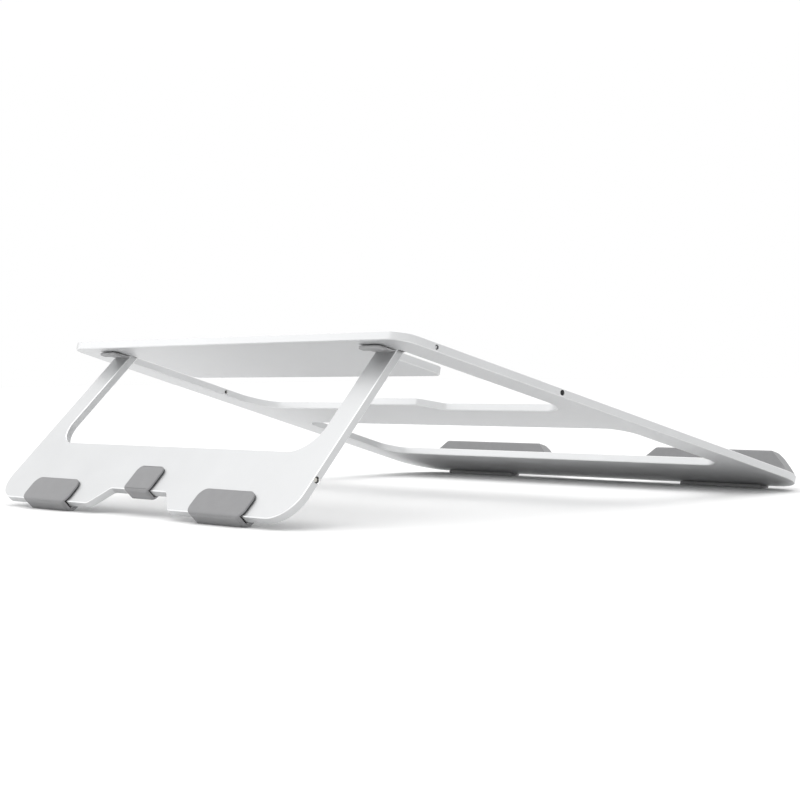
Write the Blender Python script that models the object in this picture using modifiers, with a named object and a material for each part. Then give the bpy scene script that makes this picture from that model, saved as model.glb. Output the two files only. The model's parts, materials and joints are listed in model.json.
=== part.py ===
"""Folding laptop stand: a flat aluminium plate whose inner panel swings out on two pins as its rear leg.

The stand is open, as in use: the laptop's front edge is towards -Y, the raised back edge and the leg
towards +Y, and Z = 0 is the table. Both plates are drawn folded flat, in axes that start on the hinge
axis (x across, y towards the back edge, z out of the top face), and two empties on that axis stand
them up: plate_frame by the tilt, leg_frame by the tilt and the opening angle.
"""

import math

import bmesh
import bpy
from mathutils import Matrix, Vector

MM = 0.001
GAP = 0.3 * MM  # running and fitting clearance between neighbours
CUT_REACH = 2 * MM  # how far a drill runs past the face it enters

# Stance
TILT = math.radians(15.58)
LEG_OPENING = math.radians(119.5)
FRONT_EDGE_LIFT = 1.0 * MM  # height of the plate's lower front edge over the table

# Plates
THICKNESS = 3.7 * MM
HALF_THICKNESS = THICKNESS / 2
CHAMFER = 0.35 * MM
SIDE_SLOPE = 0.069  # how far each side leans out per unit of length towards the front

# Top plate, lengths counted from its back edge
BACK_HALF_WIDTH = 120 * MM
PLATE_LENGTH = 271 * MM
AXIS_FROM_BACK = 18.5 * MM
BACK_CORNER = 9 * MM
FRONT_CORNER = 22 * MM
RAIL_WIDTH = 17.6 * MM
SLOT_START = 15 * MM
TONGUE_END = 56.3 * MM
TONGUE_HALF_WIDTH = 86.9 * MM  # on the hinge axis
TONGUE_CORNER = 5 * MM
REAR_WINDOW_END = 118.3 * MM
REAR_WINDOW_CORNER = 16 * MM
KEY_DEPTH = 9.5 * MM  # the raised middle of the mid bar's rear edge
KEY_BASE = 29 * MM
KEY_TOP = 19 * MM
FRONT_WINDOW_START = 150.6 * MM
FRONT_WINDOW_END = 224.6 * MM
FRONT_WINDOW_CORNER = 12.5 * MM

# Leg panel, lengths counted from the hinge axis
LEG_HALF_WIDTH = 101.4 * MM  # on the hinge axis
LEG_LENGTH = 95.2 * MM
ARM_WIDTH = 12.6 * MM
LEG_WINDOW_END = 60.3 * MM
LEG_WINDOW_CORNER = 13 * MM
LEG_CORNER = 13 * MM
NOTCH_BASE = 30 * MM
NOTCH_TOP = 20.5 * MM
NOTCH_DEPTH = 9.5 * MM

# Hinge hardware
PIN_RADIUS = 0.9 * MM
PIN_BORE = 1.05 * MM
ARM_BORE = 1.2 * MM
PIN_INNER_END = 74 * MM
PIN_RECESS = 0.5 * MM
WASHER_RADIUS = 1.7 * MM
BUMPER_INNER = 88 * MM
BUMPER_OUTER = 101.5 * MM
BUMPER_BACK = 5.5 * MM  # from the back edge
BUMPER_DEPTH = 4 * MM
BUMPER_HEIGHT = 1.8 * MM
BUMPER_NECK = 0.6 * MM
BUMPER_FLANGE = 0.75 * MM  # thickness of its flange, which runs on to the arm
BUMPER_STEM_RADIUS = 1.2 * MM
BUMPER_STEM_DEPTH = 2.0 * MM
BUMPER_STEM_FROM_BACK = 7.5 * MM

# Magnets that hold the folded leg: one in a cross hole in each rail, one in each edge of the leg
CATCH_FROM_AXIS = 72.9 * MM
RAIL_BORE = 1.25 * MM
RAIL_MOUTH = 0.95 * MM
RAIL_MOUTH_LENGTH = 1.2 * MM
RAIL_MAGNET_RADIUS = 1.1 * MM
RAIL_MAGNET_LENGTH = 8 * MM
PLUG_LENGTH = 4 * MM
PLUG_SOCKET = 0.5 * MM
LEG_BORE = 1.35 * MM
LEG_BORE_DEPTH = 5.5 * MM
LEG_MOUTH = 1.6 * MM
LEG_MAGNET_RADIUS = 1.05 * MM
LEG_MAGNET_LENGTH = 4.2 * MM
MAGNET_EDGE = 0.15 * MM

# Silicone pads
FLAP = 1.3 * MM  # how far a pad stands off a plate's face
SOLE_FLAP = 2.4 * MM  # the same on the faces that look at the table
LEG_PAD_INNER = 45 * MM
LEG_PAD_OUTER = 81.5 * MM
LEG_PAD_WRAP = 1.8 * MM  # how far a pad reaches past the edge it wraps
LEG_PAD_BACK = 12.1 * MM  # how far its flaps reach up the leg's two faces
LEG_PAD_FRONT = 8 * MM
CENTRE_PAD_HALF_WIDTH = 9.4 * MM
CENTRE_PAD_WRAP = 1.5 * MM
CENTRE_PAD_BACK = 12.8 * MM
STOP_TOP_INNER = 42 * MM
STOP_TOP_OUTER = 114.5 * MM
STOP_TOP_BACK = 6.2 * MM  # the top's rear edge, from the plate's front edge
STOP_HEIGHT = 13.5 * MM
STOP_END_SLOPE = 1.15
STOP_FLANGE = 14 * MM
FOOT_INNER = 60 * MM
FOOT_OUTER = 110.5 * MM
FOOT_LENGTH = 4.8 * MM
FRONT_WRAP = 1.5 * MM

SIDES = {"left": -1, "right": 1}
FRONT_EDGE_Y = AXIS_FROM_BACK - PLATE_LENGTH


def turn_x(angle, y, z):
    """The y and z of a point after a turn about the X axis."""
    return y * math.cos(angle) - z * math.sin(angle), y * math.sin(angle) + z * math.cos(angle)


# The hinge axis in the finished frame: over the middle of the stand's depth, and over the table
LEG_ANGLE = TILT + LEG_OPENING
AXIS_Z = FRONT_EDGE_LIFT - turn_x(TILT, FRONT_EDGE_Y, -HALF_THICKNESS)[1]
FRONT_REACH = -turn_x(TILT, FRONT_EDGE_Y - FRONT_WRAP, HALF_THICKNESS + STOP_HEIGHT - 2 * MM)[0]
BACK_REACH = turn_x(LEG_ANGLE, -LEG_LENGTH - LEG_PAD_WRAP, -HALF_THICKNESS - FLAP)[0]
AXIS_Y = (FRONT_REACH - BACK_REACH) / 2


def plate_half_width(y):
    return BACK_HALF_WIDTH + SIDE_SLOPE * (AXIS_FROM_BACK - y)


def rail_inner(y):
    return plate_half_width(y) - RAIL_WIDTH


def leg_half_width(y):
    return LEG_HALF_WIDTH - SIDE_SLOPE * y


def tongue_half_width(y):
    return TONGUE_HALF_WIDTH - SIDE_SLOPE * y


def floor_y(angle, z):
    """Where the table lies, along a plate that is turned by this angle, at height z over its middle."""
    return -(AXIS_Z + z * math.cos(angle)) / math.sin(angle)


def floor_z(angle, y):
    return -(AXIS_Z + y * math.sin(angle)) / math.cos(angle)


# ---------------------------------------------------------------- scene helpers


def new_collection(name):
    collection = bpy.data.collections.new(name)
    bpy.context.scene.collection.children.link(collection)
    return collection


def new_material(name, colour, metallic, roughness):
    material = bpy.data.materials.new(name)
    material.use_nodes = True
    shader = material.node_tree.nodes["Principled BSDF"]
    shader.inputs["Base Color"].default_value = (*colour, 1)
    shader.inputs["Metallic"].default_value = metallic
    shader.inputs["Roughness"].default_value = roughness
    return material


def add_object(name, data, collection, parent=None, material=None):
    obj = bpy.data.objects.new(name, data)
    collection.objects.link(obj)
    obj.parent = parent
    if material:
        data.materials.append(material)
    return obj


def add_cutter(name, data, parent):
    cutter = add_object(name, data, CUTTERS, parent)
    cutter.hide_render = True
    cutter.display_type = "WIRE"
    return cutter


def boolean(obj, other, operation="DIFFERENCE"):
    modifier = obj.modifiers.new(f"{operation} {other.name}", "BOOLEAN")
    modifier.operation = operation
    modifier.solver = "EXACT"
    modifier.object = other


def smooth(obj, angle=35):
    obj.data.shade_smooth()
    obj.data.set_sharp_from_angle(angle=math.radians(angle))


# ---------------------------------------------------------------- shape helpers


def rounded(corners):
    """A closed outline through (x, y, radius) corners, with an arc in each corner that has a radius."""
    deviation = 0.012 * MM  # of a chord from its arc
    points = []
    befores = corners[-1:] + corners[:-1]
    afters = corners[1:] + corners[:1]
    for before, corner, after in zip(befores, corners, afters):
        here, radius = Vector(corner[:2]), corner[2]
        if not radius:
            points.append(here)
            continue
        to_before = (Vector(before[:2]) - here).normalized()
        to_after = (Vector(after[:2]) - here).normalized()
        half_angle = to_before.angle(to_after) / 2
        centre = here + (to_before + to_after).normalized() * radius / math.sin(half_angle)
        tangent = radius / math.tan(half_angle)
        first = here + to_before * tangent - centre
        last = here + to_after * tangent - centre
        start = math.atan2(first.y, first.x)
        sweep = math.atan2(last.y, last.x) - start
        sweep = (sweep + math.pi) % (2 * math.pi) - math.pi
        steps = math.ceil(abs(sweep) / math.sqrt(8 * deviation / radius))
        for step in range(steps + 1):
            angle = start + sweep * step / steps
            points.append(centre + radius * Vector((math.cos(angle), math.sin(angle))))
    return points


def mirrored(corners):
    """Right-hand corners, listed back to front, followed by their mirror images front to back."""
    return corners + [(-x, y, radius) for x, y, radius in reversed(corners)]


def outline_mesh(name, outlines, half_depth, chamfer=0.0):
    """A mesh of the filled outlines, extruded to both sides of their plane."""
    curve = bpy.data.curves.new(name, "CURVE")
    curve.dimensions = "2D"
    curve.fill_mode = "BOTH"
    curve.extrude = half_depth - chamfer
    curve.bevel_depth = chamfer
    curve.bevel_resolution = 0
    curve.offset = -chamfer
    for points in outlines:
        spline = curve.splines.new("POLY")
        spline.points.add(len(points) - 1)
        for point, place in zip(spline.points, points):
            point.co = (place[0], place[1], 0, 1)
        spline.use_cyclic_u = True
    drawn = bpy.data.objects.new(name, curve)
    CUTTERS.objects.link(drawn)
    graph = bpy.context.evaluated_depsgraph_get()
    mesh = bpy.data.meshes.new_from_object(drawn.evaluated_get(graph))
    bpy.data.objects.remove(drawn)
    bpy.data.curves.remove(curve)
    mesh.name = name
    shape = bmesh.new()
    shape.from_mesh(mesh)
    bmesh.ops.remove_doubles(shape, verts=shape.verts, dist=0.000002)
    bmesh.ops.recalc_face_normals(shape, faces=shape.faces)
    shape.to_mesh(mesh)
    shape.free()
    return mesh


def bar_mesh(name, profile, x_from, x_to):
    """A (y, z) profile extruded along x."""
    mesh = outline_mesh(name, [profile], abs(x_to - x_from) / 2)
    x_middle = (x_from + x_to) / 2
    to_bar = Matrix(((0, 0, 1, x_middle), (1, 0, 0, 0), (0, 1, 0, 0), (0, 0, 0, 1)))
    mesh.transform(to_bar)
    return mesh


def rod_mesh(name, radius, x_from, x_to, y=0.0, end_radius=None, segments=24):
    """A cylinder or cone along x."""
    mesh = bpy.data.meshes.new(name)
    shape = bmesh.new()
    bmesh.ops.create_cone(
        shape,
        cap_ends=True,
        segments=segments,
        radius1=radius,
        radius2=radius if end_radius is None else end_radius,
        depth=abs(x_to - x_from),
    )
    along_x = Matrix.Rotation(math.pi / 2 if x_to > x_from else -math.pi / 2, 4, "Y")
    place = Matrix.Translation(((x_from + x_to) / 2, y, 0)) @ along_x
    bmesh.ops.transform(shape, matrix=place, verts=shape.verts)
    shape.to_mesh(mesh)
    shape.free()
    return mesh


def turned_object(name, profile, material, parent, sign=1, closed=False, segments=24):
    """A shape turned about its own x axis from (x, radius) points that run from its inner end outwards."""
    mesh = bpy.data.meshes.new(name)
    if sign < 0:
        profile = [(-x, radius) for x, radius in reversed(profile)]
    edges = [(i, i + 1) for i in range(len(profile) - 1)]
    if closed:
        edges.append((len(profile) - 1, 0))
    mesh.from_pydata([(x, radius, 0) for x, radius in profile], edges, [])
    obj = add_object(name, mesh, STAND, parent, material)
    screw = obj.modifiers.new("Turn", "SCREW")
    screw.axis = "X"
    screw.steps = segments
    screw.render_steps = segments
    screw.use_merge_vertices = True
    screw.merge_threshold = 0.000005
    screw.use_smooth_shade = True
    screw.use_normal_flip = True
    return obj


# ---------------------------------------------------------------- plates


def make_top_plate(parent):
    back_y = AXIS_FROM_BACK
    outline = mirrored(
        [
            (plate_half_width(back_y), back_y, BACK_CORNER),
            (plate_half_width(FRONT_EDGE_Y), FRONT_EDGE_Y, FRONT_CORNER),
        ]
    )
    slot_y = back_y - SLOT_START
    tongue_y = back_y - TONGUE_END
    bar_y = back_y - REAR_WINDOW_END
    slot_corner = 1 * MM
    right_half = [
        (tongue_half_width(tongue_y), tongue_y, TONGUE_CORNER),
        (tongue_half_width(slot_y), slot_y, slot_corner),
        (rail_inner(slot_y), slot_y, slot_corner),
        (rail_inner(bar_y), bar_y, REAR_WINDOW_CORNER),
        (KEY_BASE, bar_y, 3 * MM),
        (KEY_TOP, bar_y + KEY_DEPTH, 3 * MM),
    ]
    window_start = back_y - FRONT_WINDOW_START
    window_end = back_y - FRONT_WINDOW_END
    front_window = mirrored(
        [
            (rail_inner(window_start), window_start, FRONT_WINDOW_CORNER),
            (rail_inner(window_end), window_end, FRONT_WINDOW_CORNER),
        ]
    )
    outlines = [rounded(outline), rounded(mirrored(right_half)), rounded(front_window)]
    mesh = outline_mesh("top_plate", outlines, HALF_THICKNESS, CHAMFER)
    plate = add_object("top_plate", mesh, STAND, parent, ALUMINIUM)
    for side, sign in SIDES.items():
        drill_plate(plate, side, sign, parent)
    smooth(plate)


def drill_plate(plate, side, sign, parent):
    """The hinge pin's hole, the magnet's stepped hole in the rail, and the hole for the bumper's stem."""
    outer = sign * (plate_half_width(0) + CUT_REACH)
    pin_hole = rod_mesh("pin_hole", PIN_BORE, sign * (PIN_INNER_END - GAP), outer)
    boolean(plate, add_cutter(f"pin_hole_{side}", pin_hole, parent))

    y = -CATCH_FROM_AXIS
    mouth = rod_mesh("mouth", RAIL_MOUTH, sign * (rail_inner(y) - CUT_REACH), sign * rail_step(), y)
    boolean(plate, add_cutter(f"rail_mouth_{side}", mouth, parent))
    outer = sign * (plate_half_width(y) + CUT_REACH)
    overlap = 0.1 * MM
    bore = rod_mesh("bore", RAIL_BORE, sign * (rail_step() - overlap), outer, y)
    boolean(plate, add_cutter(f"rail_bore_{side}", bore, parent))

    boolean(plate, add_cutter(f"stem_hole_{side}", stem_mesh(sign, GAP), parent))


def make_leg_panel(parent):
    arm_end = HALF_THICKNESS
    bottom = -LEG_LENGTH
    window = -LEG_WINDOW_END
    right_half = [
        (leg_half_width(window) - ARM_WIDTH, window, LEG_WINDOW_CORNER),
        (leg_half_width(arm_end) - ARM_WIDTH, arm_end, 0),
        (leg_half_width(arm_end), arm_end, 0),
        (leg_half_width(bottom), bottom, LEG_CORNER),
        (NOTCH_BASE, bottom, 4 * MM),
        (NOTCH_TOP, bottom + NOTCH_DEPTH, 3 * MM),
    ]
    mesh = outline_mesh("leg_panel", [rounded(mirrored(right_half))], HALF_THICKNESS, CHAMFER)
    leg = add_object("leg_panel", mesh, STAND, parent, ALUMINIUM)
    for side, sign in SIDES.items():
        drill_leg(leg, side, sign, parent)
    smooth(leg)


def drill_leg(leg, side, sign, parent):
    """The arm's bore for the hinge pin, and the blind hole with a flared mouth for the magnet."""
    outer = leg_half_width(0) + CUT_REACH
    inner = leg_half_width(0) - ARM_WIDTH - CUT_REACH
    arm_bore = rod_mesh("arm_bore", ARM_BORE, sign * inner, sign * outer)
    boolean(leg, add_cutter(f"arm_bore_{side}", arm_bore, parent))

    y = -CATCH_FROM_AXIS
    edge = leg_half_width(y)
    bore = rod_mesh("bore", LEG_BORE, sign * (edge - LEG_BORE_DEPTH), sign * (edge + CUT_REACH), y)
    boolean(leg, add_cutter(f"leg_bore_{side}", bore, parent))
    flare = LEG_MOUTH - LEG_BORE
    mouth = rod_mesh(
        "mouth", LEG_BORE - flare, sign * (edge - 2 * flare), sign * (edge + flare), y, LEG_MOUTH + flare
    )
    boolean(leg, add_cutter(f"leg_mouth_{side}", mouth, parent))


# ---------------------------------------------------------------- hinge hardware


def make_hinge(side, sign, parent):
    outer_end = plate_half_width(0) - PIN_RECESS
    half_length = (outer_end - PIN_INNER_END) / 2
    tip = 0.3 * MM
    pin = turned_object(
        f"hinge_pin_{side}",
        [
            (-half_length, 0),
            (-half_length, PIN_RADIUS - tip),
            (-half_length + tip, PIN_RADIUS),
            (half_length - tip, PIN_RADIUS),
            (half_length, PIN_RADIUS - tip),
            (half_length, 0),
        ],
        STEEL,
        parent,
        sign,
    )
    pin.location.x = sign * (outer_end + PIN_INNER_END) / 2

    gaps = {
        "inner": (tongue_half_width(0), leg_half_width(0) - ARM_WIDTH),
        "outer": (leg_half_width(0), rail_inner(0)),
    }
    for place, (near, far) in gaps.items():
        # The gap's sides lean with the plate, so the washer is thinner than the gap on the axis.
        half = (far - near) / 2 - GAP - SIDE_SLOPE * WASHER_RADIUS
        washer = turned_object(
            f"hinge_washer_{place}_{side}",
            [
                (-half, PIN_BORE + 0.05 * MM),
                (-half, WASHER_RADIUS),
                (half, WASHER_RADIUS),
                (half, PIN_BORE + 0.05 * MM),
            ],
            NYLON,
            parent,
            sign,
            closed=True,
        )
        washer.location.x = sign * (near + far) / 2


def stem_mesh(sign, extra=0.0):
    """The bumper's stem, upright, from inside the neck up into the plate."""
    mesh = bpy.data.meshes.new("stem")
    shape = bmesh.new()
    radius = BUMPER_STEM_RADIUS + extra
    bottom = -HALF_THICKNESS - BUMPER_NECK - GAP
    top = -HALF_THICKNESS + BUMPER_STEM_DEPTH + extra
    bmesh.ops.create_cone(
        shape, cap_ends=True, segments=16, radius1=radius, radius2=radius, depth=top - bottom
    )
    x = sign * (BUMPER_INNER + BUMPER_OUTER) / 2
    y = AXIS_FROM_BACK - BUMPER_STEM_FROM_BACK
    bmesh.ops.translate(shape, verts=shape.verts, vec=(x, y, (top + bottom) / 2))
    shape.to_mesh(mesh)
    shape.free()
    return mesh


def arm_back_y(depth):
    """Where the open arm's back face lies, at this depth under the plate's underside."""
    turn = LEG_OPENING
    start_y, start_z = turn_x(turn, 0, -HALF_THICKNESS)
    along = (start_z + HALF_THICKNESS + depth) / math.sin(turn)
    return start_y - along * math.cos(turn)


def make_bumper(side, sign, parent):
    """The soft block that the open arm leans on, held by its stem in the plate's underside."""
    top = -HALF_THICKNESS - GAP
    neck = -HALF_THICKNESS - BUMPER_NECK
    bottom = -HALF_THICKNESS - BUMPER_HEIGHT
    flange = -HALF_THICKNESS - BUMPER_FLANGE
    back_y = AXIS_FROM_BACK - BUMPER_BACK
    clear = GAP / math.sin(LEG_OPENING)
    inset = 0.7 * MM
    ease = 0.3 * MM
    profile = [
        (back_y - inset, top),
        (back_y - inset, neck),
        (back_y, neck - ease),
        (back_y, bottom + ease),
        (back_y - ease, bottom),
        (back_y - BUMPER_DEPTH + ease, bottom),
        (back_y - BUMPER_DEPTH, bottom + ease),
        (back_y - BUMPER_DEPTH, flange),
        (arm_back_y(BUMPER_FLANGE) + clear, flange),
        (arm_back_y(GAP) + clear, top),
    ]
    mesh = bar_mesh(f"hinge_bumper_{side}", profile, sign * BUMPER_INNER, sign * BUMPER_OUTER)
    bumper = add_object(f"hinge_bumper_{side}", mesh, STAND, parent, SILICONE)
    boolean(bumper, add_cutter(f"stem_{side}", stem_mesh(sign), parent), "UNION")


# ---------------------------------------------------------------- magnet catch


def rail_step():
    """Distance from the middle of the stand to the step that the rail's magnet rests against."""
    return rail_inner(-CATCH_FROM_AXIS) + RAIL_MOUTH_LENGTH


def make_rod(name, radius, start, length, material, parent, sign):
    """A rod in a cross hole, with broken edges, that starts this far from the middle of the stand."""
    half = length / 2
    profile = [
        (-half, 0),
        (-half, radius - MAGNET_EDGE),
        (-half + MAGNET_EDGE, radius),
        (half - MAGNET_EDGE, radius),
        (half, radius - MAGNET_EDGE),
        (half, 0),
    ]
    rod = turned_object(name, profile, material, parent, sign)
    rod.location = (sign * (start + half), -CATCH_FROM_AXIS, 0)


def make_catch(side, sign, rail_parent, leg_parent):
    magnet_start = rail_step() + GAP
    make_rod(
        f"rail_magnet_{side}",
        RAIL_MAGNET_RADIUS,
        magnet_start,
        RAIL_MAGNET_LENGTH,
        MAGNET,
        rail_parent,
        sign,
    )
    leg_hole_end = leg_half_width(-CATCH_FROM_AXIS) - LEG_BORE_DEPTH
    make_rod(
        f"leg_magnet_{side}",
        LEG_MAGNET_RADIUS,
        leg_hole_end + GAP,
        LEG_MAGNET_LENGTH,
        MAGNET,
        leg_parent,
        sign,
    )
    plug_start = magnet_start + RAIL_MAGNET_LENGTH + GAP
    plug_end = plug_start + PLUG_LENGTH
    mesh = rod_mesh(
        f"magnet_plug_{side}", RAIL_MAGNET_RADIUS, sign * plug_start, sign * plug_end, -CATCH_FROM_AXIS
    )
    plug = add_object(f"magnet_plug_{side}", mesh, STAND, rail_parent, STEEL)
    socket = rod_mesh(
        "socket",
        PLUG_SOCKET,
        sign * (plug_start + PLUG_LENGTH / 2),
        sign * (plug_end + 1 * MM),
        -CATCH_FROM_AXIS,
        segments=6,
    )
    boolean(plug, add_cutter(f"plug_socket_{side}", socket, rail_parent))
    smooth(plug)


# ---------------------------------------------------------------- silicone pads


def make_leg_pads(parent):
    """A U round the leg's bottom edge on each side, cut flat by the table, and a smaller one in the notch."""
    inner = HALF_THICKNESS + GAP
    outer = HALF_THICKNESS + FLAP
    sole = HALF_THICKNESS + SOLE_FLAP
    bottom = -LEG_LENGTH - LEG_PAD_WRAP
    profile = [
        (-LEG_LENGTH + LEG_PAD_BACK, -inner),
        (-LEG_LENGTH + LEG_PAD_BACK, -outer),
        (bottom, -outer),
        (bottom, floor_z(LEG_ANGLE, bottom)),
        (floor_y(LEG_ANGLE, sole), sole),
        (-LEG_LENGTH + LEG_PAD_FRONT, sole),
        (-LEG_LENGTH + LEG_PAD_FRONT, inner),
        (-LEG_LENGTH - GAP, inner),
        (-LEG_LENGTH - GAP, -inner),
    ]
    for side, sign in SIDES.items():
        mesh = bar_mesh(f"leg_pad_{side}", profile, sign * LEG_PAD_INNER, sign * LEG_PAD_OUTER)
        add_object(f"leg_pad_{side}", mesh, STAND, parent, SILICONE)

    notch_y = -LEG_LENGTH + NOTCH_DEPTH
    profile = [
        (notch_y + CENTRE_PAD_BACK, -inner),
        (notch_y + CENTRE_PAD_BACK, -outer),
        (notch_y - CENTRE_PAD_WRAP, -outer),
        (notch_y - CENTRE_PAD_WRAP, outer),
        (notch_y + LEG_PAD_FRONT, outer),
        (notch_y + LEG_PAD_FRONT, inner),
        (notch_y - GAP, inner),
        (notch_y - GAP, -inner),
    ]
    mesh = bar_mesh("leg_pad_centre", profile, -CENTRE_PAD_HALF_WIDTH, CENTRE_PAD_HALF_WIDTH)
    add_object("leg_pad_centre", mesh, STAND, parent, SILICONE)


def make_front_pad(side, sign, parent):
    """The stop that the laptop's front edge meets, and the foot under it, wrapped round the front edge."""
    inner = HALF_THICKNESS + GAP
    front_y = FRONT_EDGE_Y - FRONT_WRAP
    back_y = FRONT_EDGE_Y + STOP_TOP_BACK
    flange_y = FRONT_EDGE_Y + STOP_FLANGE
    top = HALF_THICKNESS + STOP_HEIGHT
    stop_profile = [
        (front_y, inner),
        (front_y, top - 2 * MM),
        (FRONT_EDGE_Y, top - 0.4 * MM),
        (FRONT_EDGE_Y + 1 * MM, top),
        (back_y - 1 * MM, top),
        (back_y, top - 1 * MM),
        (back_y + 0.8 * MM, HALF_THICKNESS + 4.5 * MM),
        (back_y + 2.2 * MM, HALF_THICKNESS + 2.2 * MM),
        (flange_y - 2 * MM, HALF_THICKNESS + FLAP),
        (flange_y, inner + 0.5 * MM),
        (flange_y, inner),
    ]
    base_spread = STOP_END_SLOPE * STOP_HEIGHT
    stop_inner = STOP_TOP_INNER - base_spread
    stop_outer = STOP_TOP_OUTER + base_spread
    mesh = bar_mesh(f"front_pad_{side}", stop_profile, sign * stop_inner, sign * stop_outer)
    middle = (stop_inner + stop_outer) / 2
    for vertex in mesh.vertices:
        rise = vertex.co.z - HALF_THICKNESS
        towards_middle = math.copysign(1, middle - abs(vertex.co.x))
        vertex.co.x += sign * towards_middle * rise * STOP_END_SLOPE
    pad = add_object(f"front_pad_{side}", mesh, STAND, parent, SILICONE)
    grown_outline = [
        (plate_half_width(0) + FRONT_WRAP, 0, 0),
        (plate_half_width(FRONT_EDGE_Y) + FRONT_WRAP, front_y, FRONT_CORNER + FRONT_WRAP),
    ]
    trim = outline_mesh("trim", [rounded(mirrored(grown_outline))], top + CUT_REACH)
    boolean(pad, add_cutter(f"front_pad_trim_{side}", trim, parent), "INTERSECT")

    flap_z = -HALF_THICKNESS - SOLE_FLAP
    foot_profile = [
        (front_y, inner + 1 * MM),
        (FRONT_EDGE_Y - GAP, inner + 1 * MM),
        (FRONT_EDGE_Y - GAP, -inner),
        (FRONT_EDGE_Y + FOOT_LENGTH, -inner),
        (FRONT_EDGE_Y + FOOT_LENGTH, flap_z),
        (floor_y(TILT, flap_z), flap_z),
        (front_y, floor_z(TILT, front_y)),
    ]
    foot = bar_mesh("foot", foot_profile, sign * FOOT_INNER, sign * FOOT_OUTER)
    boolean(pad, add_cutter(f"front_foot_{side}", foot, parent), "UNION")


# ---------------------------------------------------------------- assembly

for existing in list(bpy.data.objects):
    bpy.data.objects.remove(existing)

STAND = new_collection("folding laptop stand")
CUTTERS = new_collection("cutters")

ALUMINIUM = new_material("Anodised aluminium", (0.80, 0.81, 0.82), 1.0, 0.36)
SILICONE = new_material("Grey silicone", (0.30, 0.30, 0.305), 0.0, 0.62)
STEEL = new_material("Steel", (0.45, 0.45, 0.46), 1.0, 0.35)
MAGNET = new_material("Nickel-plated magnet", (0.62, 0.61, 0.58), 1.0, 0.25)
NYLON = new_material("Black nylon", (0.03, 0.03, 0.03), 0.0, 0.5)

plate_frame = add_object("plate_frame", None, STAND)
plate_frame.location = (0, AXIS_Y, AXIS_Z)
plate_frame.rotation_euler.x = TILT
leg_frame = add_object("leg_frame", None, STAND)
leg_frame.location = (0, AXIS_Y, AXIS_Z)
leg_frame.rotation_euler.x = LEG_ANGLE

make_top_plate(plate_frame)
make_leg_panel(leg_frame)
make_leg_pads(leg_frame)
for side_name, side_sign in SIDES.items():
    make_hinge(side_name, side_sign, plate_frame)
    make_bumper(side_name, side_sign, plate_frame)
    make_catch(side_name, side_sign, plate_frame, leg_frame)
    make_front_pad(side_name, side_sign, plate_frame)
bpy.context.view_layer.update()
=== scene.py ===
"""The looks of a folding laptop stand: bead-blasted anodised plates, grey silicone pads and a white studio.

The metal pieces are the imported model's own. The silicone pieces are rebuilt in detail in the space of
their plain solids, in each plate's folded axes: they start on the hinge axis, with x across, y towards
the plate's back edge and z out of its top face.
"""

import json
import math

import bmesh
import bpy
from mathutils import Matrix, Vector


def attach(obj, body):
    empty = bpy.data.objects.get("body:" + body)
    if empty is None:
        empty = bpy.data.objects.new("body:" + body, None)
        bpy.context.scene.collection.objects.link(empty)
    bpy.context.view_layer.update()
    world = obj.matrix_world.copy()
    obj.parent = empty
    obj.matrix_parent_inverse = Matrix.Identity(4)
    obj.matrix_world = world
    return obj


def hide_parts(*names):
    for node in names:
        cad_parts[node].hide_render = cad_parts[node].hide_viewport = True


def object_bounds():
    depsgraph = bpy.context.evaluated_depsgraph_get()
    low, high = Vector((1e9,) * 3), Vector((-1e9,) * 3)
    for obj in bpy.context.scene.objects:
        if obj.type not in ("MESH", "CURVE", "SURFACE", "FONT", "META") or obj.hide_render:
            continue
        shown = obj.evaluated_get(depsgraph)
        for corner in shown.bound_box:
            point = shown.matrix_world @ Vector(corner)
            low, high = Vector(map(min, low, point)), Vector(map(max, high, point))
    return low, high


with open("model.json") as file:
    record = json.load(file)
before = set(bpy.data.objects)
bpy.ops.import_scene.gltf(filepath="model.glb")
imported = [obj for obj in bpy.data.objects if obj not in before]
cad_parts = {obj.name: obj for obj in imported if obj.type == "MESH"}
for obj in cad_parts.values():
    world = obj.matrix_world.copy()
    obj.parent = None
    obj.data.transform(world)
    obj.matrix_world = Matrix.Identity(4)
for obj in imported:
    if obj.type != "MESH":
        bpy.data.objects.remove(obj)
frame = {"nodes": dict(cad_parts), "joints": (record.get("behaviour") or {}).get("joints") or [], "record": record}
cad_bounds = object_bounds()

MM = 0.001
CLEAR = 0.01 * MM  # how far a cutting shape reaches past a face it follows

TILT = math.radians(15.58)
HALF_THICKNESS = 1.85 * MM
BACK_HALF_WIDTH = 120 * MM
SIDE_SLOPE = 0.069  # how much each side spreads on its way to the front
AXIS_FROM_BACK = 18.5 * MM
FRONT_CORNER = 22 * MM

GAP = 0.3 * MM  # between a moulding and its plate
INNER = HALF_THICKNESS + GAP  # how far a moulding's inner faces lie from the plate's middle
SIDE_PAD_WRAP = 1.8 * MM  # how far a pad reaches past the edge it wraps
CENTRE_PAD_WRAP = 1.5 * MM
FRONT_WRAP = 1.5 * MM
LEG_PAD_FRONT = 8 * MM
STOP_TOP_ENDS = (42 * MM, 114.5 * MM)
STOP_TOP_BACK = 6.2 * MM  # the stop's top, measured back from the plate's front edge
STOP_END_SLOPE = 1.15
FOOT_ENDS = (60 * MM, 110.5 * MM)
FOOT_LENGTH = 4.8 * MM
BUMPER_DEPTH = 4 * MM
BUMPER_HEIGHT = 1.8 * MM
BUMPER_NECK = 0.6 * MM  # how far under the plate the bumper's neck and flange end
BUMPER_FLANGE = 0.75 * MM

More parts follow.
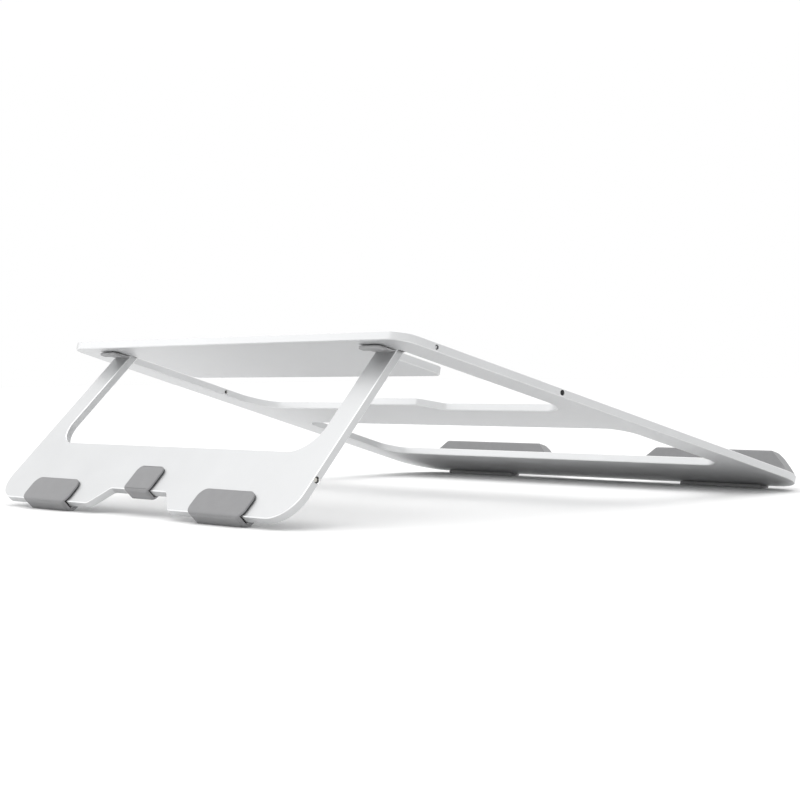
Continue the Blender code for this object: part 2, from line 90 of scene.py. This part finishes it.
FOLD = next(joint for joint in frame["joints"] if joint["name"] == "leg_fold")
HINGE = Vector(FOLD["pos_m"])
LEG_ANGLE = TILT + math.radians(FOLD["range_deg"][1])
PLATE_AXES = Matrix.Translation(HINGE) @ Matrix.Rotation(TILT, 4, "X")
LEG_AXES = Matrix.Translation(HINGE) @ Matrix.Rotation(LEG_ANGLE, 4, "X")


def local_box(node, axes):
    """A CAD node's lowest and highest corners in a plate's own axes."""
    to_local = axes.inverted()
    points = [to_local @ vertex.co for vertex in frame["nodes"][node].data.vertices]
    low = Vector(min(point[i] for point in points) for i in range(3))
    high = Vector(max(point[i] for point in points) for i in range(3))
    return low, high


def floor_y(angle, z):
    """Where a line at height z over a tilted plate's middle meets the table."""
    return -(HINGE.z + z * math.cos(angle)) / math.sin(angle)


def floor_z(angle, y):
    """How far the table is over a tilted plate's middle, measured square to it, at y along it."""
    return -(HINGE.z + y * math.sin(angle)) / math.cos(angle)


# ---------------------------------------------------------------- mesh helpers


def rounded(corners, step=math.radians(9)):
    """A closed outline through (x, y, radius) corners, with an arc in each corner that has a radius."""
    points = []
    befores = corners[-1:] + corners[:-1]
    afters = corners[1:] + corners[:1]
    for before, corner, after in zip(befores, corners, afters):
        here, radius = Vector(corner[:2]), corner[2]
        if not radius:
            points.append(here)
            continue
        to_before = (Vector(before[:2]) - here).normalized()
        to_after = (Vector(after[:2]) - here).normalized()
        half_angle = to_before.angle(to_after) / 2
        centre = here + (to_before + to_after).normalized() * radius / math.sin(half_angle)
        tangent = radius / math.tan(half_angle)
        first = here + to_before * tangent - centre
        last = here + to_after * tangent - centre
        start = math.atan2(first.y, first.x)
        sweep = (math.atan2(last.y, last.x) - start + math.pi) % (2 * math.pi) - math.pi
        steps = max(2, round(abs(sweep) / step))
        for i in range(steps + 1):
            angle = start + sweep * i / steps
            points.append(centre + radius * Vector((math.cos(angle), math.sin(angle))))
    return points


def prism(name, outline, low, high, normal):
    """The outline, in the two axes that follow the normal in x, y, z, x order, extruded from low to high."""
    mesh = bpy.data.meshes.new(name)
    shape = bmesh.new()
    order = {"x": (2, 0, 1), "y": (1, 2, 0), "z": (0, 1, 2)}[normal]

    def place(point, depth):
        values = (point[0], point[1], depth)
        return Vector(values[i] for i in order)

    bottom = [shape.verts.new(place(point, low)) for point in outline]
    face = shape.faces.new(bottom)
    top = bmesh.ops.extrude_face_region(shape, geom=[face])["geom"]
    along = place((0, 0), high) - place((0, 0), low)
    bmesh.ops.translate(shape, vec=along, verts=[v for v in top if isinstance(v, bmesh.types.BMVert)])
    bmesh.ops.recalc_face_normals(shape, faces=shape.faces)
    shape.to_mesh(mesh)
    shape.free()
    obj = bpy.data.objects.new(name, mesh)
    bpy.context.scene.collection.objects.link(obj)
    return obj


def apply_modifiers(obj):
    graph = bpy.context.evaluated_depsgraph_get()
    mesh = bpy.data.meshes.new_from_object(obj.evaluated_get(graph))
    obj.modifiers.clear()
    obj.data = mesh


def combine(obj, other, operation):
    """A Boolean, worked out in millimetres, where the solver is more reliable."""
    obj.data.transform(Matrix.Scale(1 / MM, 4))
    other.data.transform(Matrix.Scale(1 / MM, 4))
    modifier = obj.modifiers.new(operation, "BOOLEAN")
    modifier.operation = operation
    modifier.solver = "EXACT"
    modifier.object = other
    apply_modifiers(obj)
    obj.data.transform(Matrix.Scale(MM, 4))
    bpy.data.objects.remove(other)


def soften(obj, radius, segments=3):
    """Rounds a moulding's sharp edges."""
    bevel = obj.modifiers.new("Soft edges", "BEVEL")
    bevel.width = radius
    bevel.segments = segments
    bevel.limit_method = "ANGLE"
    bevel.angle_limit = math.radians(30)
    bevel.use_clamp_overlap = False
    apply_modifiers(obj)


def shade(obj):
    """Shades a moulding smooth and leaves its large faces flat."""
    obj.data.shade_smooth()
    obj.data.set_sharp_from_angle(angle=math.radians(40))
    weighted = obj.modifiers.new("Flat faces", "WEIGHTED_NORMAL")
    weighted.keep_sharp = True
    apply_modifiers(obj)


# ---------------------------------------------------------------- materials

ALUMINIUM_COLOUR = (0.62, 0.625, 0.63)
DARK_ALUMINIUM = (0.59, 0.595, 0.60)
PLATE_CHAMFER = (0.72, 0.725, 0.73)
# The leg's chamfer is a polished cut edge like the plate's, and its colour is raised further as a painted
# highlight.
LEG_CHAMFER_AND_HIGHLIGHT = (0.90, 0.905, 0.91)
SILICONE_COLOUR = (0.23, 0.23, 0.235)
# The bumpers are the pads' grey silicone, painted lighter to lift the shade they sit in under the plate.
BUMPER_PAINTED_LIGHTER_COLOUR = (0.33, 0.33, 0.335)


def new_material(name, colour, metallic, roughness):
    material = bpy.data.materials.new(name)
    material.use_nodes = True
    shader = material.node_tree.nodes["Principled BSDF"]
    shader.inputs["Base Color"].default_value = (*colour, 1)
    shader.inputs["Metallic"].default_value = metallic
    shader.inputs["Roughness"].default_value = roughness
    return material, shader


def new_node(material, kind, **values):
    """A node with the named inputs set to numbers or linked to other nodes' sockets."""
    node = material.node_tree.nodes.new(kind)
    for name, value in values.items():
        socket = node.inputs[name.replace("_", " ")]
        if isinstance(value, bpy.types.NodeSocket):
            material.node_tree.links.new(value, socket)
        else:
            socket.default_value = value
    return node


def noise(material, scale, detail=2.0, roughness=0.5):
    place = new_node(material, "ShaderNodeTexCoord").outputs["Object"]
    return new_node(
        material, "ShaderNodeTexNoise", Vector=place, Scale=scale, Detail=detail, Roughness=roughness
    ).outputs["Fac"]


def remap(material, value, low, high, to_low, to_high):
    node = new_node(material, "ShaderNodeMapRange", Value=value)
    for name, number in (("From Min", low), ("From Max", high), ("To Min", to_low), ("To Max", to_high)):
        node.inputs[name].default_value = number
    return node.outputs["Result"]


def link(material, value, socket):
    material.node_tree.links.new(value, socket)


def math_node(material, operation, *values):
    node = new_node(material, "ShaderNodeMath")
    node.operation = operation
    for socket, value in zip(node.inputs, values):
        link(material, value, socket)
    return node.outputs["Value"]


def blend(material, factor, first, second):
    """A mix of two numbers or two colours, each given plain or as another node's socket."""
    node = new_node(material, "ShaderNodeMix")
    node.clamp_factor = True
    is_colour = isinstance(first, tuple) or isinstance(second, tuple) or first.type == "RGBA"
    node.data_type = "RGBA" if is_colour else "FLOAT"
    sockets = [socket for socket in node.inputs if socket.enabled]
    for socket, value in zip(sockets, (factor, first, second)):
        if isinstance(value, tuple):
            socket.default_value = (*value, 1)
        else:
            link(material, value, socket)
    return next(socket for socket in node.outputs if socket.enabled)


def make_aluminium(name, axes, chamfer_colour):
    """Bead-blasted plate with smoother, brighter chamfers, which are found by their lean from its faces."""
    material, shader = new_material(name, ALUMINIUM_COLOUR, 1.0, 0.36)
    normal = new_node(material, "ShaderNodeTexCoord").outputs["Normal"]
    lean = new_node(material, "ShaderNodeVectorMath")
    lean.operation = "DOT_PRODUCT"
    link(material, normal, lean.inputs[0])
    lean.inputs[1].default_value = axes.to_3x3() @ Vector((0, 0, 1))
    upright = math_node(material, "ABSOLUTE", lean.outputs["Value"])
    off_side = remap(material, upright, 0.35, 0.5, 0.0, 1.0)
    off_face = remap(material, upright, 0.8, 0.95, 1.0, 0.0)
    chamfer = math_node(material, "MULTIPLY", off_side, off_face)

    mottle = noise(material, 38, 4.0, 0.6)
    grain = noise(material, 5200, 2.0)
    scuffs = noise(material, 420, 5.0, 0.7)
    blasted = remap(material, mottle, 0.3, 0.7, 0.43, 0.49)
    cut_edge = remap(material, scuffs, 0.35, 0.7, 0.28, 0.40)
    link(material, blend(material, chamfer, blasted, cut_edge), shader.inputs["Roughness"])

    tone = blend(material, remap(material, mottle, 0.3, 0.7, 0.0, 1.0), DARK_ALUMINIUM, ALUMINIUM_COLOUR)
    # The chamfer colour is a polished cut edge; the leg's also carries a painted highlight.
    link(material, blend(material, chamfer, tone, chamfer_colour), shader.inputs["Base Color"])

    bump = new_node(material, "ShaderNodeBump", Strength=0.16, Distance=0.03 * MM, Height=grain)
    link(material, bump.outputs["Normal"], shader.inputs["Normal"])
    return material


def make_silicone(name, colour):
    material, shader = new_material(name, colour, 0.0, 0.58)
    dust = noise(material, 160, 5.0, 0.65)
    link(material, remap(material, dust, 0.35, 0.7, 0.52, 0.64), shader.inputs["Roughness"])
    dusty = tuple(channel + 0.03 for channel in colour)
    tone = blend(material, remap(material, dust, 0.4, 0.75, 0.0, 1.0), colour, dusty)
    link(material, tone, shader.inputs["Base Color"])
    grain = noise(material, 2600, 3.0)
    bump = new_node(material, "ShaderNodeBump", Strength=0.2, Distance=0.04 * MM, Height=grain)
    link(material, bump.outputs["Normal"], shader.inputs["Normal"])
    return material


def make_steel():
    material, shader = new_material("stainless steel", (0.5, 0.5, 0.51), 1.0, 0.3)
    grain = noise(material, 900, 3.0)
    link(material, remap(material, grain, 0.3, 0.7, 0.25, 0.4), shader.inputs["Roughness"])
    return material


def make_magnet():
    material, shader = new_material("nickel plate", (0.5, 0.49, 0.46), 1.0, 0.22)
    grain = noise(material, 1400, 3.0)
    link(material, remap(material, grain, 0.3, 0.7, 0.15, 0.30), shader.inputs["Roughness"])
    return material


def make_nylon():
    # Near black; this also gives the dark spot at each slot's back end.
    material, shader = new_material("black nylon", (0.03, 0.03, 0.03), 0.0, 0.45)
    grain = noise(material, 1500, 2.0)
    bump = new_node(material, "ShaderNodeBump", Strength=0.1, Distance=0.05 * MM, Height=grain)
    link(material, bump.outputs["Normal"], shader.inputs["Normal"])
    return material


PLATE_ALUMINIUM = make_aluminium("anodised plate", PLATE_AXES, PLATE_CHAMFER)
# The leg's chamfer colour carries a painted highlight.
LEG_ALUMINIUM = make_aluminium("anodised leg", LEG_AXES, LEG_CHAMFER_AND_HIGHLIGHT)
SILICONE = make_silicone("grey silicone", SILICONE_COLOUR)
# Painted light: a lighter copy of the pads' silicone for the shaded bumpers.
BUMPER_SILICONE_PAINTED_LIGHTER = make_silicone("grey silicone painted lighter", BUMPER_PAINTED_LIGHTER_COLOUR)
FINISHES = {"steel": make_steel(), "magnet": make_magnet(), "nylon": make_nylon(), "silicone": SILICONE}
PLATES = {"top_plate": PLATE_ALUMINIUM, "leg_panel": LEG_ALUMINIUM}


def smoothing_nodes():
    """Geometry nodes that weld a CAD mesh and shade it smooth, except across edges over 25 degrees."""
    group = bpy.data.node_groups.new("smooth round faces", "GeometryNodeTree")
    group.is_modifier = True
    group.interface.new_socket("Geometry", in_out="INPUT", socket_type="NodeSocketGeometry")
    group.interface.new_socket("Geometry", in_out="OUTPUT", socket_type="NodeSocketGeometry")
    add, connect = group.nodes.new, group.links.new
    start, end = add("NodeGroupInput"), add("NodeGroupOutput")
    weld = add("GeometryNodeMergeByDistance")
    weld.inputs["Distance"].default_value = 0.000002
    plain = add("GeometryNodeRemoveAttribute")
    plain.inputs["Name"].default_value = "custom_normal"
    smooth = add("GeometryNodeSetShadeSmooth")
    smooth.domain = "FACE"
    angle = add("GeometryNodeInputMeshEdgeAngle")
    sharp = add("FunctionNodeCompare")
    sharp.operation = "GREATER_THAN"
    sharp.inputs["B"].default_value = math.radians(25)
    split = add("GeometryNodeSetShadeSmooth")
    split.domain = "EDGE"
    split.inputs["Shade Smooth"].default_value = False
    connect(start.outputs["Geometry"], weld.inputs["Geometry"])
    connect(weld.outputs["Geometry"], plain.inputs["Geometry"])
    connect(plain.outputs["Geometry"], smooth.inputs["Geometry"])
    connect(smooth.outputs["Geometry"], split.inputs["Geometry"])
    connect(angle.outputs["Unsigned Angle"], sharp.inputs["A"])
    connect(sharp.outputs["Result"], split.inputs["Selection"])
    connect(split.outputs["Geometry"], end.inputs["Geometry"])
    return group


def finish_cad_nodes():
    smoothing = smoothing_nodes()
    slots = {row["node"]: row["material_slot"] for row in frame["record"]["subparts"]}
    for name, node in frame["nodes"].items():
        node.material_slots[0].material = PLATES.get(name) or FINISHES[slots[name]]
        node.modifiers.new("Smooth", "NODES").node_group = smoothing


# ---------------------------------------------------------------- silicone


def place_moulding(obj, axes, body, node, material=SILICONE):
    """Shades a moulding, moves it to its place in the stand and hands it over in place of its CAD node."""
    shade(obj)
    obj.data.transform(axes)
    obj.data.materials.clear()
    obj.data.materials.append(material)
    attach(obj, body)
    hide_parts(node)


def make_leg_pad(node, reaches_floor):
    """A U round the leg's bottom edge. A side pad's front flap is thick, and cut flat where it stands."""
    low, high = local_box(node, LEG_AXES)
    wrap = SIDE_PAD_WRAP if reaches_floor else CENTRE_PAD_WRAP
    edge = low.y + wrap
    bottom, outer = low.y, high.z
    if reaches_floor:
        sole_back = (bottom, floor_z(LEG_ANGLE, bottom), 0.9 * MM)
        sole_front = (floor_y(LEG_ANGLE, outer), outer, 0.9 * MM)
        sole = [sole_back, sole_front]
    else:
        sole = [(bottom, outer, 1.0 * MM)]
    profile = [
        (high.y, -INNER, 0),
        (high.y, low.z, 0.5 * MM),
        (bottom, low.z, 1.8 * MM),
        *sole,
        (edge + LEG_PAD_FRONT, outer, 0.7 * MM),
        (edge + LEG_PAD_FRONT, INNER, 0),
        (edge - GAP, INNER, 0.2 * MM),
        (edge - GAP, -INNER, 0.2 * MM),
    ]
    top_corner, fold_corner = (4.8 * MM, 4.6 * MM) if reaches_floor else (3.4 * MM, 3.0 * MM)
    silhouette = [
        (low.x, low.y - CLEAR, fold_corner),
        (high.x, low.y - CLEAR, fold_corner),
        (high.x, high.y + CLEAR, top_corner),
        (low.x, high.y + CLEAR, top_corner),
    ]
    pad = prism(f"{node}_moulded", rounded(profile), low.x - MM, high.x + MM, "x")
    outline = prism("outline", rounded(silhouette), low.z - MM, high.z + MM, "z")
    combine(pad, outline, "INTERSECT")
    soften(pad, 0.35 * MM)
    place_moulding(pad, LEG_AXES, "leg", node)


def make_bumper(node):
    """A block under the back edge, on a neck and a thin flange that runs forward to the arm."""
    low, high = local_box(node, PLATE_AXES)
    top = -INNER
    neck = -HALF_THICKNESS - BUMPER_NECK
    flange = -HALF_THICKNESS - BUMPER_FLANGE
    bottom = -HALF_THICKNESS - BUMPER_HEIGHT
    block_front = high.y - BUMPER_DEPTH

    def outline(front, back, shrink, corner):
        corners = [
            (low.x + shrink, front, 0.8 * MM),
            (high.x - shrink, front, 0.8 * MM),
            (high.x - shrink, back, corner),
            (low.x + shrink, back, corner),
        ]
        return rounded(corners)

    head = prism(f"{node}_moulded", outline(block_front, high.y, 0, 1.8 * MM), bottom, neck, "z")
    soften(head, 0.35 * MM)
    ledge = prism("flange", outline(low.y, high.y - 2 * MM, 0.5 * MM, 0.8 * MM), flange, top, "z")
    combine(head, ledge, "UNION")
    inner_outline = outline(block_front, high.y - 0.7 * MM, 0.7 * MM, 1.5 * MM)
    throat = prism("neck", inner_outline, neck - 0.2 * MM, top, "z")
    combine(head, throat, "UNION")
    # The bumper gets the lighter copy of the pads' silicone, which is painted light.
    place_moulding(head, PLATE_AXES, "plate", node, BUMPER_SILICONE_PAINTED_LIGHTER)


def make_front_pad(node):
    """A stop for the laptop's front edge, a wrap over the plate's front edge, and a foot under it."""
    low, high = local_box(node, PLATE_AXES)
    sign = math.copysign(1, low.x)
    edge = low.y + FRONT_WRAP
    top, under = high.z, low.z
    foot_back = edge + FOOT_LENGTH
    top_back = edge + STOP_TOP_BACK
    profile = [
        (low.y, floor_z(TILT, low.y), 0.6 * MM),
        (low.y, top - 2.2 * MM, 3 * MM),
        (edge + 0.5 * MM, top, 1.4 * MM),
        (top_back, top, 1.2 * MM),
        (top_back + 1 * MM, INNER + 3.4 * MM, 4 * MM),
        (high.y - 3 * MM, INNER + 1.3 * MM, 3 * MM),
        (high.y, INNER + 0.8 * MM, 0.4 * MM),
        (high.y, INNER, 0),
        (edge - GAP, INNER, 0.2 * MM),
        (edge - GAP, -INNER, 0.2 * MM),
        (foot_back, -INNER, 0),
        (foot_back, floor_z(TILT, foot_back), 0.5 * MM),
    ]
    near, far = STOP_TOP_ENDS
    base, wrap_top = INNER + 0.6 * MM, INNER - 0.2 * MM
    spread = STOP_END_SLOPE * (top - base)
    foot_near, foot_far = FOOT_ENDS
    silhouette = [
        (far + spread, base, 0.8 * MM),
        (far, top + CLEAR, 2.6 * MM),
        (near, top + CLEAR, 2.6 * MM),
        (near - spread, base, 0.8 * MM),
        (near - spread, wrap_top, 0.2 * MM),
        (foot_near, wrap_top, 1.5 * MM),
        (foot_near, under - MM, 0),
        (foot_far, under - MM, 0),
        (foot_far, wrap_top, 1.5 * MM),
        (far + spread, wrap_top, 0.2 * MM),
    ]
    pad = prism(f"{node}_moulded", rounded(profile), low.x - MM, high.x + MM, "x")
    outline = prism("outline", [(z, sign * x) for x, z in rounded(silhouette)], low.y - MM, high.y + MM, "y")
    combine(pad, outline, "INTERSECT")

    def plate_side(y):
        return BACK_HALF_WIDTH + SIDE_SLOPE * (AXIS_FROM_BACK - y) + FRONT_WRAP

    corner = FRONT_CORNER + FRONT_WRAP
    plan = rounded(
        [
            (plate_side(0), 0, 0),
            (-plate_side(0), 0, 0),
            (-plate_side(low.y), low.y - CLEAR, corner),
            (plate_side(low.y), low.y - CLEAR, corner),
        ]
    )
    combine(pad, prism("plan", plan, low.z - MM, high.z + MM, "z"), "INTERSECT")
    soften(pad, 0.25 * MM)
    place_moulding(pad, PLATE_AXES, "plate", node)


# ---------------------------------------------------------------- studio


ZENITH = 1.35  # the sky's brightness overhead, against 1 at the horizon


def make_sky():
    """White at the horizon and brighter overhead."""
    world = bpy.data.worlds.new("white studio")
    world.use_nodes = True
    nodes, links = world.node_tree.nodes, world.node_tree.links
    direction = nodes.new("ShaderNodeTexCoord")
    split = nodes.new("ShaderNodeSeparateXYZ")
    rise = nodes.new("ShaderNodeMapRange")
    rise.interpolation_type = "SMOOTHSTEP"
    rise.inputs["From Min"].default_value = 0.15
    rise.inputs["From Max"].default_value = 0.75
    rise.inputs["To Min"].default_value = 1.0
    rise.inputs["To Max"].default_value = ZENITH
    links.new(direction.outputs["Generated"], split.inputs["Vector"])
    links.new(split.outputs["Z"], rise.inputs["Value"])
    background = nodes["Background"]
    background.inputs["Color"].default_value = (1, 1, 1, 1)
    links.new(rise.outputs["Result"], background.inputs["Strength"])
    bpy.context.scene.world = world


def make_table():
    mesh = bpy.data.meshes.new("table")
    shape = bmesh.new()
    bmesh.ops.create_grid(shape, x_segments=1, y_segments=1, size=6)
    shape.to_mesh(mesh)
    shape.free()
    table = bpy.data.objects.new("table", mesh)
    bpy.context.scene.collection.objects.link(table)
    table.location.z = cad_bounds[0].z - 0.02 * MM
    material, shader = new_material("white table", (0.88, 0.88, 0.88), 0.0, 0.8)
    shader.inputs["Specular IOR Level"].default_value = 0.0
    mesh.materials.append(material)


def make_softbox(name, location, size, power):
    """A rectangular lamp that points at the middle of the stand."""
    light = bpy.data.lights.new(name, "AREA")
    light.shape = "RECTANGLE"
    light.size, light.size_y = size
    light.energy = power
    lamp = bpy.data.objects.new(name, light)
    bpy.context.scene.collection.objects.link(lamp)
    lamp.location = location
    aim = Vector((0, 0, 0.03)) - lamp.location
    lamp.rotation_euler = aim.to_track_quat("-Z", "Y").to_euler()


def make_studio():
    bpy.context.scene.view_settings.view_transform = "Standard"
    make_sky()
    make_table()
    make_softbox("overhead softbox", (0.45, 0.2, 1.1), (1.1, 1.1), 1.5)
    make_softbox("rear softbox", (1.35, 1.0, 0.55), (1.2, 0.6), 2.7)


def make_camera():
    camera = bpy.data.cameras.new("camera")
    camera.lens = 78.18
    camera.shift_x = 0.01307
    camera.shift_y = -0.00262
    camera.clip_start = 0.01
    holder = bpy.data.objects.new("camera", camera)
    bpy.context.scene.collection.objects.link(holder)
    holder.location = (-0.62006, 0.58039, 0.06160)
    holder.rotation_euler = [math.radians(angle) for angle in (89.080, 0.664, -133.023)]
    bpy.context.scene.camera = holder


# ---------------------------------------------------------------- assembly

finish_cad_nodes()
make_leg_pad("leg_pad_left", True)
make_leg_pad("leg_pad_right", True)
make_leg_pad("leg_pad_centre", False)
for side in ("left", "right"):
    make_bumper(f"hinge_bumper_{side}")
    make_front_pad(f"front_pad_{side}")
make_studio()
make_camera()
